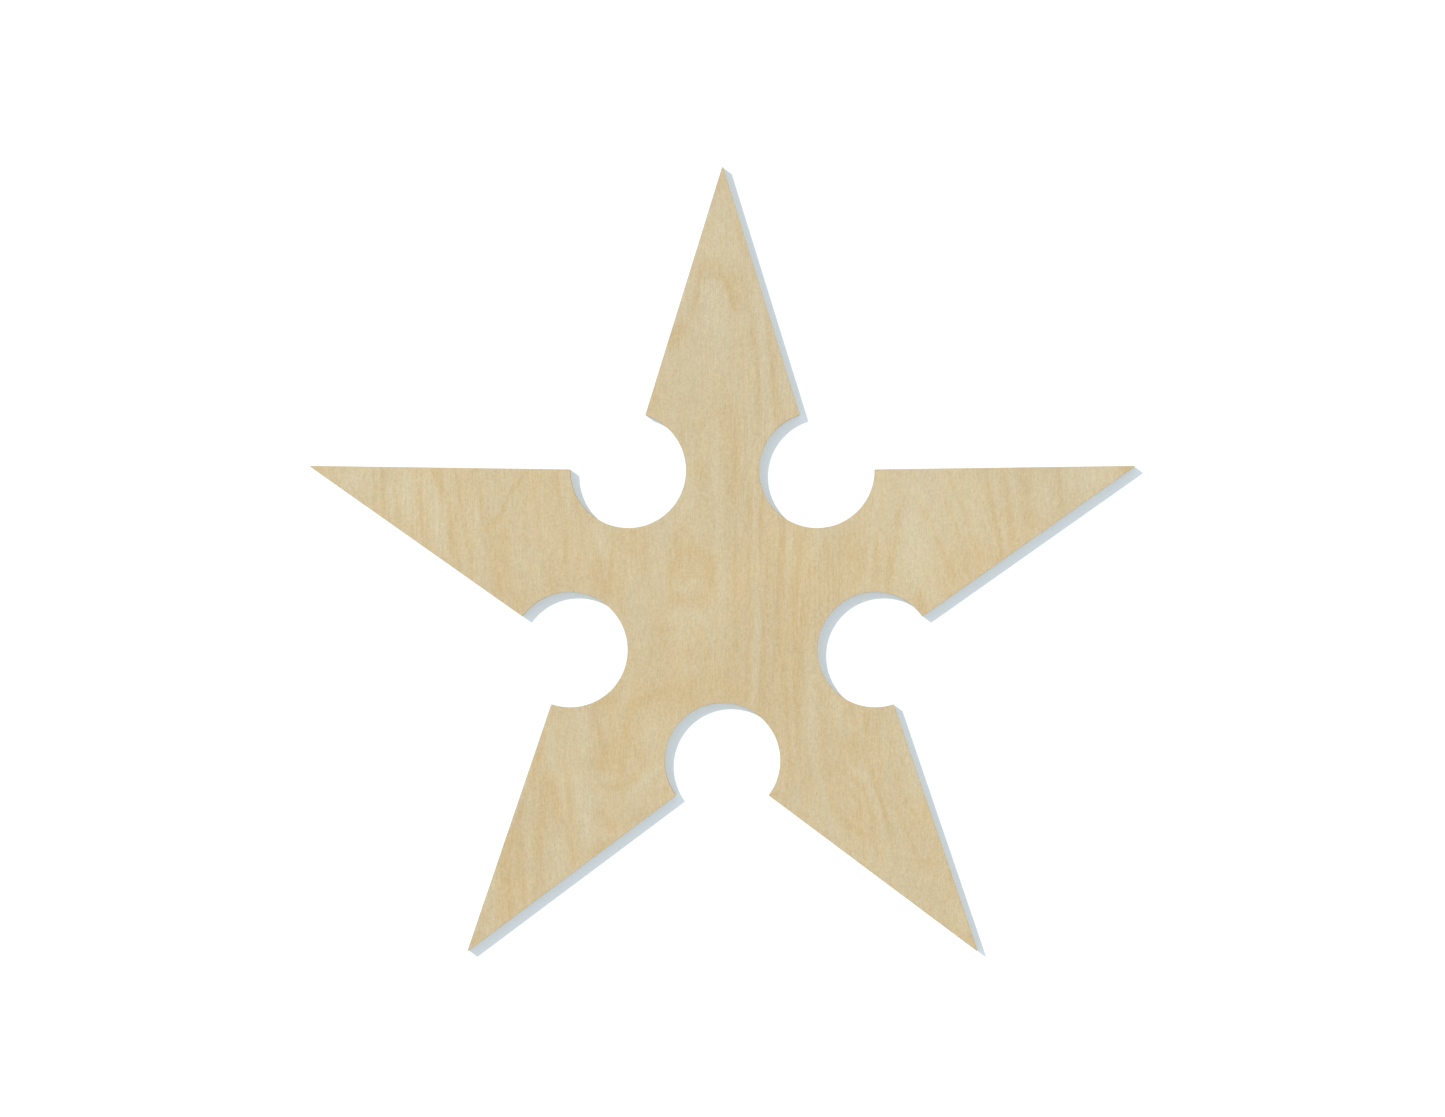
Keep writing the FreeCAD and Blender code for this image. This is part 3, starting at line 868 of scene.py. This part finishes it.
# Patches: across, up, turn in degrees, half width, half height, how dark.
patches = (
    # Broad tones, over the whole star.
    (22, -12, 0, 15, 42, 0.46),
    (-12, -32, 0, 34, 13, 0.52),
    (-120, 42, 0, 24, 18, -0.7),
    (76, 36, 0, 26, 24, -0.64),
    (0, 108, 0, 24, 36, -0.48),
    (134, 46, 0, 12, 10, -1.15),
    (-3, 112, 0, 12, 12, 0.3),
    (112, 37, 0, 8, 10, -0.3),
    (-62, -80, 0, 10, 13, 0.3),
    (-115, 38, 0, 9, 9, 0.28),
    (33, -52, 0, 7, 9, -0.18),
    (0, 10, 0, 12, 14, 0.12),
    (-46, -50, 0, 8, 8, -0.2),
    (-84, -113, 0, 7, 8, 0.22),
    (50, -72, 0, 10, 12, 0.15),
    (112, 37, 0, 6, 8, -0.12),
    (-77, -98, -10, 8, 20, 0.62),
    (84, -108, 15, 8, 16, -0.15),
    # The upper point.
    (-25.5, 73, -20, 1.6, 5, 0.5),
    (-19.5, 93, 0, 1.2, 2, 0.5),
    (-18.5, 94.5, -30, 2.5, 1.6, 0.5),
    (-16.5, 99, -30, 2.5, 3, 0.4),
    (-4.5, 123.5, 0, 4.2, 2.8, 0.7),
    (-4, 119.8, 0, 4.5, 0.9, 0.7),
    (-4, 68, 0, 12, 9, 0.35),
    (-3.5, 143, 0, 1.5, 2, 0.3),
    (-3, 146, 0, 3, 4, -0.4),
    (-1, 135, 0, 7, 8, -0.5),
    (-1, 154, 0, 2, 3, 0.8),
    (0, 128.5, 0, 3, 3, -0.4),
    (4.3, 107.5, 0, 1.8, 2, 0.5),
    (6, 116, 0, 4.5, 7, 0.4),
    (6.5, 100.5, 0, 1.2, 2, 0.4),
    (6.5, 86, 0, 2.6, 6, 0.3),
    (9, 95, 0, 4, 10, 0.4),
    (11.3, 85.5, 0, 1, 1.5, 0.4),
    (15.5, 65, 0, 1.5, 4, -0.4),
    (26, 70, 0, 1.2, 1.5, 0.4),
    # The middle, left of the centre.
    (-48, 10, 0, 1.5, 3, 0.6),
    (-46, 13, 0, 3, 4, 0.3),
    (-43, 5, 0, 3.8, 4.2, 1.3),
    (-43, -37, 0, 4, 2.6, 0.8),
    (-35, 25, 0, 3, 2, 0.3),
    (-33, 19, 0, 3.5, 4, 0.5),
    (-30, -4, 0, 6, 12, -0.4),
    (-28, -36, 25, 9, 2.4, 0.9),
    (-25, -18, 0, 3, 2.5, 0.4),
    (-24, -9, 0, 3, 6, 0.4),
    (-22, -10, 0, 4.5, 1.4, 0.5),
    (-19, 30, 0, 3, 5, -0.7),
    (-16, -26, 0, 9, 2.6, -0.4),
    (-14.1, 3.9, 5, 2.9, 1, -0.9),
    (-14, -12, 0, 5, 5, -0.3),
    (-13, 13.5, 0, 4.5, 6, 0.38),
    (-13, -36, 0, 4, 4, 0.6),
    (-12, -5.5, 0, 7, 3.2, -0.7),
    (-10, 27, 0, 1.6, 2.4, -0.5),
    (-9.4, 6.9, 12, 2.3, 1.1, -0.9),
    (-9, -13, 30, 1.4, 4, 0.4),
    (-6, -20, 0, 10, 5, 0.15),
    (-5, -13, 0, 2, 2, -0.5),
    (-4.8, 12.5, 0, 2.4, 5.5, 0.7),
    (-4, 43, 0, 2, 4, -0.3),
    # The middle, right of the centre.
    (6, -34, 0, 4, 3, 0.6),
    (6.5, 3, 0, 0.8, 3, 0.4),
    (13, -22, 0, 3, 14, -0.2),
    (34.5, 12, 0, 3.5, 9, -0.3),
    (36.5, -37, 0, 1.5, 4, 0.5),
    (47, 17, 0, 8, 10, 0.5),
    # The left point.
    (-124, 47, 0, 3, 2.4, 0.5),
    (-118, 29, 0, 3, 3, 0.4),
    (-113, 47.5, 0, 8, 1.8, 0.4),
    (-102.2, 24, 0, 1.1, 7, -0.4),
    (-88.5, 25.5, 0, 1.3, 1.3, 0.4),
    (-85, 37, 0, 2.5, 4, -0.5),
    (-80, 24, 0, 2.5, 3, 0.3),
    (-75.5, -2, 0, 2.5, 3, 0.9),
    (-74, 16, 0, 3, 4, -0.5),
    (-62.5, 44, 0, 2, 4, 0.3),
    # The right point.
    (71, 18, 0, 5.8, 14, -1.2),
    (71.5, 0, 0, 2.4, 3, 0.5),
    (72, 1.5, 0, 1.8, 2.5, 0.7),
    (73.7, -2.6, 0, 2.4, 2.6, 0.9),
    (76.5, 30, 0, 2, 5, 0.4),
    (77.5, 1, 0, 2.5, 3, -0.7),
    (79, 21, 0, 2, 2.5, 0.5),
    (91, 32, 0, 2, 2, 0.35),
    (92, 15, 0, 7, 6, 0.5),
    (102.5, 44, 0, 1, 4, 0.35),
    (103.5, 22, 0, 2.6, 6, -0.5),
    (104, 15, 0, 4, 3, 0.6),
    (106.5, 34, 0, 1.6, 4, -0.4),
    (112, 31, 0, 2.8, 4, 0.4),
    (114, 28, 0, 3, 4, 0.35),
    (118, 38, 0, 1.2, 6, 0.35),
    (128.5, 38, -15, 1, 3, 0.4),
    (129, 45, 0, 3, 4, -0.6),
    (130.5, 43, 0, 1.8, 5, 0.5),
    (131.5, 46.5, 0, 2, 2, 0.5),
    (148.5, 48.6, 0, 2.5, 1.4, 1.3),
    # The lower left point.
    (-91, -125, 35, 3, 2, 0.8),
    (-88, -117, 0, 2.5, 3, 0.4),
    (-87, -119, 0, 2.6, 4, -0.55),
    (-85, -107, -15, 2.4, 7, -0.8),
    (-72.5, -66, -15, 1.3, 5, -0.6),
    (-67.5, -57, -15, 1.6, 6, 0.6),
    (-64.5, -68, 0, 2.2, 4, 0.6),
    (-64, -97, 0, 2.5, 2.5, 0.4),
    (-61, -95, 0, 3.2, 9, -0.7),
    (-54, -44, 0, 3, 4, -0.4),
    (-52.5, -63, 0, 1, 2.5, 0.4),
    (-47, -45.5, 0, 1, 4, -0.4),
    (-46, -60, 0, 3, 3, 0.4),
    (-45, -92, 35, 4, 2.5, 0.9),
    (-45, -78, 0, 3.5, 2.6, 0.4),
    (-45, -61.5, 0, 3, 2.2, 0.35),
    (-44, -87.5, 0, 3, 2, -0.5),
    (-43, -57, 0, 4.2, 6, 1.1),
    (-42.5, -43, 0, 2.6, 5, -0.5),
    (-42, -68.5, 0, 6, 1.5, 0.7),
    (-41, -83, 0, 3, 2.4, 0.7),
    (-35, -47, 0, 3, 4, 0.35),
    (-33, -66, 20, 4, 2, 0.5),
    (-33, -53, 0, 3, 6, 0.3),
    (-32, -80, 40, 5, 1.8, 0.6),
    (-31, -57, 0, 3, 4, 0.6),
    (-27, -49, 0, 4, 5, -0.35),
    (-26, -66.5, -30, 3, 1.5, -0.4),
    (-22, -66.5, -20, 1.2, 2, -0.5),
    (-21.5, -69, 0, 2, 1.4, 0.4),
    # The lower right point.
    (19, -71, 0, 1.8, 1.8, 1.0),
    (27, -43, 0, 0.9, 4, -0.5),
    (27.5, -74, 0, 1.6, 3, -0.6),
    (33, -69, 0, 2, 3, 0.4),
    (38, -61, 0, 3.5, 4, 0.35),
    (41.5, -78, 40, 1.2, 4, 0.5),
    (43, -83.5, 0, 2.5, 2, 0.4),
    (45.5, -55, 0, 1.2, 3, 0.4),
    (46, -72, 0, 1.5, 2, 0.4),
    (48, -54, 0, 5, 4, 0.6),
    (48, -68, 0, 3, 2, -0.5),
    (49, -84, 58, 2.2, 9, 0.4),
    (51, -64, 40, 1.7, 3.4, -0.8),
    (51.5, -84, -20, 3, 1.4, -0.6),
    (51.5, -67, 0, 1.5, 2, 0.4),
    (55, -97, -35, 7, 4, -0.5),
    (55, -52, 0, 2.4, 5, 0.4),
    (58.5, -95, 0, 1, 3, 0.5),
    (58.5, -43, 0, 1.6, 4, 0.5),
    (59, -72, 0, 0.9, 3, -0.4),
    (76, -96, 0, 3.5, 2, 0.6),
    (78.7, -95, -12, 0.8, 4, -0.5),
    (84, -103, 15, 1.6, 5, 0.7),
    (88, -118, 15, 2, 5, -0.6),
    (91.5, -125, 15, 1.5, 3, 0.8),
)

# Eyes, which are closed lines: across, up, turn in degrees, half width, half height, half width of
# the line as a share of those two, how dark.
eyes = (
    (-12, 8, 0, 7.5, 10.5, 0.22, 0.62),
    (47, -74, 33, 6, 13, 0.2, 0.5),
    (47, -74, 33, 2.6, 7, 0.32, 0.4),
)

# Cool areas, and rosy ones below 0, given as patches are.
casts = (
    (0, 95, 0, 40, 60, 0.85),
    (20, 12, 0, 70, 12, -0.75),
    (-110, 35, 0, 40, 25, -0.65),
    (-70, -90, 0, 25, 40, 0.5),
    (95, 15, 0, 25, 15, -0.65),
)

# Areas where the fibres run straight and show as fine lines, given as patches are.
straights = (
    (30, 0, 0, 20, 36, 0.6),
    (22, 55, 0, 20, 26, 1.2),
    (-2, 115, 0, 18, 30, 0.5),
    (-108, 32, 0, 35, 18, 0.55),
    (-75, -88, 0, 16, 35, 0.4),
)

# Ridges along the grain, where the growth rings rise towards the face: across, half width, how
# many rings.
ridges = ((-3, 30, 9.0), (70, 24, 6.5), (-64, 15, 4.5), (-128, 20, 4.5))


def place_mark(tree, group, veneer, middle, turn, size, dark, **own):
    """Adds one mark to a veneer's tone.

    middle and the two half sizes are in millimetres, turn is in radians, and own gives the numbers
    that only this kind of mark has.
    """
    inputs = {
        "Veneer": veneer,
        "Middle": (*middle, 0),
        "Turn": (0, 0, turn),
        "Size": (*size, no_size),
        "Dark": (0, 0, dark),
    }
    return use_group(tree, group, {**inputs, **own})["Veneer"]


def place_streaks(tree, veneer):
    """Adds all streaks: each lies on the line from its one end to the other, moved aside by its bow."""
    for begin, end, width, dark, bow in streaks:
        begin, end = np.array(begin), np.array(end)
        run = end - begin if end[1] > begin[1] else begin - end
        turn = math.atan2(-run[0], run[1])
        middle = (begin + end) / 2 + bow * np.array([math.cos(turn), math.sin(turn)])
        size = (width, np.linalg.norm(run) / 2)
        veneer = place_mark(tree, streak_group, veneer, middle, turn, size, dark, Bow=bow / width)
    return veneer


def place_patches(tree, veneer, table):
    """Adds all patches of a table."""
    for x, y, turn, width, height, dark in table:
        turn = math.radians(turn)
        veneer = place_mark(tree, patch_group, veneer, (x, y), turn, (width, height), dark)
    return veneer


def place_eyes(tree, veneer):
    """Adds all eyes."""
    for x, y, turn, width, height, line, dark in eyes:
        turn = math.radians(turn)
        veneer = place_mark(tree, eye_group, veneer, (x, y), turn, (width, height), dark, Line=line)
    return veneer


def tone_of(tree, veneer):
    """The tone that a veneer's marks add up to."""
    return put(tree, "ShaderNodeSeparateXYZ", {0: veneer}).outputs["Z"]


def face_looks(tree, place, looks):
    """The face veneer's own ridges and marks. It takes the rings and gives all its looks.

    Nothing in wood is ruled: every mark wanders with the fibres, a streak less than a patch.
    """
    patch_wander, streak_wander = (1.6, 5, 0), (0.8, 3, 0)  # across the grain and along it
    drift = cloud(tree, place, (7, 16, 20), detail=2.0, output="Color")
    drift = put(tree, "ShaderNodeVectorMath", {0: drift, 1: (0.5, 0.5, 0.5)}, operation="SUBTRACT")
    flat = put(tree, "ShaderNodeVectorMath", {0: place, 1: (1, 1, 0)}, operation="MULTIPLY")
    clean, fine = (
        put(
            tree,
            "ShaderNodeVectorMath",
            {0: drift.outputs[0], 1: wander, 2: flat.outputs[0]},
            operation="MULTIPLY_ADD",
        ).outputs[0]
        for wander in (patch_wander, streak_wander)
    )
    ridged = place_patches(tree, clean, [(x, 0, 0, width, no_end, rings) for x, width, rings in ridges])
    lined = place_streaks(tree, fine)
    marked = place_eyes(tree, place_patches(tree, clean, patches))
    return {
        "Rings": calc(tree, "ADD", looks["Rings"], tone_of(tree, ridged)),
        "Figure": calc(tree, "ADD", tone_of(tree, lined), tone_of(tree, marked)),
        "Cast": tone_of(tree, place_patches(tree, clean, casts)),
        "Straight": tone_of(tree, place_patches(tree, clean, straights)),
    }


dress_in_birch(
    face,
    turn=0.0,
    seed=(0, 0, 0),
    lean=(0.02, 0.02, 0.4),
    swells=(0.8, 1.2),
    pale=tone(210.8, 197.6, 164.0),
    tan=tone(204.2, 182.2, 138.0),
    ring_strength=0.6,
    blotches=0.62,
    own=face_looks,
)

# The pale floor that the star lies on. What the camera sees of it is lifted to white, and it keeps
# the star's shadow.


def shows_backdrop(tree):
    """1 for a ray that shows the backdrop itself: from the camera, in a mirror or through glass."""
    rays = put(tree, "ShaderNodeLightPath").outputs
    seen = calc(tree, "MAXIMUM", rays["Is Camera Ray"], rays["Is Glossy Ray"])
    return calc(tree, "MAXIMUM", seen, rays["Is Transmission Ray"])


floor_reach = 30.0  # metres each way
floor_z = cad_box[0].z
floor_corners = [
    (x * floor_reach, y * floor_reach, floor_z) for x, y in ((-1, -1), (1, -1), (1, 1), (-1, 1))
]
floor_mesh = bpy.data.meshes.new("floor")
floor_mesh.from_pydata(floor_corners, [], [(0, 1, 2, 3)])
floor = bpy.data.objects.new("floor", floor_mesh)
bpy.context.scene.collection.objects.link(floor)
floor_finish = bpy.data.materials.new("floor")
floor_finish.use_nodes = True
tree = floor_finish.node_tree
tree.nodes.remove(tree.nodes["Principled BSDF"])
matt = put(tree, "ShaderNodeBsdfDiffuse", {"Color": (0.80, 0.80, 0.80, 1.0)})
bright = put(tree, "ShaderNodeBsdfDiffuse", {"Color": (0.95, 0.95, 0.95, 1.0)})
lift = put(tree, "ShaderNodeEmission", {"Color": (0.175, 0.24, 0.29, 1.0), "Strength": 1.0})
lifted = put(tree, "ShaderNodeAddShader", {0: bright.outputs[0], 1: lift.outputs[0]})
shaders = {0: shows_backdrop(tree), 1: matt.outputs[0], 2: lifted.outputs[0]}
shown = put(tree, "ShaderNodeMixShader", shaders)
tree.links.new(shown.outputs[0], tree.nodes["Material Output"].inputs["Surface"])
floor_mesh.materials.append(floor_finish)

# The light: a broad soft sky all round, a little cool, and a small warm key from the upper left
# that throws the short hard shadow to the lower right.

world = bpy.data.worlds.new("sky")
world.use_nodes = True
bpy.context.scene.world = world
tree = world.node_tree
sky = tree.nodes["Background"]
sky.inputs["Color"].default_value = (0.50, 0.53, 0.545, 1.0)
white = put(tree, "ShaderNodeBackground", {"Color": (1.0, 1.0, 1.0, 1.0), "Strength": 1.0})
shaders = {0: shows_backdrop(tree), 1: sky.outputs[0], 2: white.outputs[0]}
shown = put(tree, "ShaderNodeMixShader", shaders)
tree.links.new(shown.outputs[0], tree.nodes["World Output"].inputs["Surface"])

thickness = cad_box[1].z - cad_box[0].z
key_ray = Vector((3.37 * mm, -2.47 * mm, -thickness))  # from the star's rim to its shadow's
key_share = 0.5  # what the key adds to a level white surface, where 1 is white
key = bpy.data.lights.new("key", "SUN")
key.angle = math.radians(1.5)
key.color = (1.0, 0.94, 0.91)
key.energy = key_share * math.pi / (thickness / key_ray.length)
key_lamp = bpy.data.objects.new("key", key)
key_lamp.rotation_euler = key_ray.to_track_quat("-Z", "Y").to_euler()
bpy.context.scene.collection.objects.link(key_lamp)

# The camera looks straight down through a long lens, so no edge of the star shows.

frame_width = 532.5 * mm  # what the view takes in, at the height of the face
camera_rise = 15.36 * mm  # how far the camera stands from the star's centre towards its upper point
camera_data = bpy.data.cameras.new("camera")
camera_data.lens = 200.0
camera_height = camera_data.lens / camera_data.sensor_width * frame_width
camera = bpy.data.objects.new("camera", camera_data)
camera.location = (0.0, camera_rise, cad_box[1].z + camera_height)
bpy.context.scene.collection.objects.link(camera)
bpy.context.scene.camera = camera
bpy.context.scene.view_settings.view_transform = "Standard"
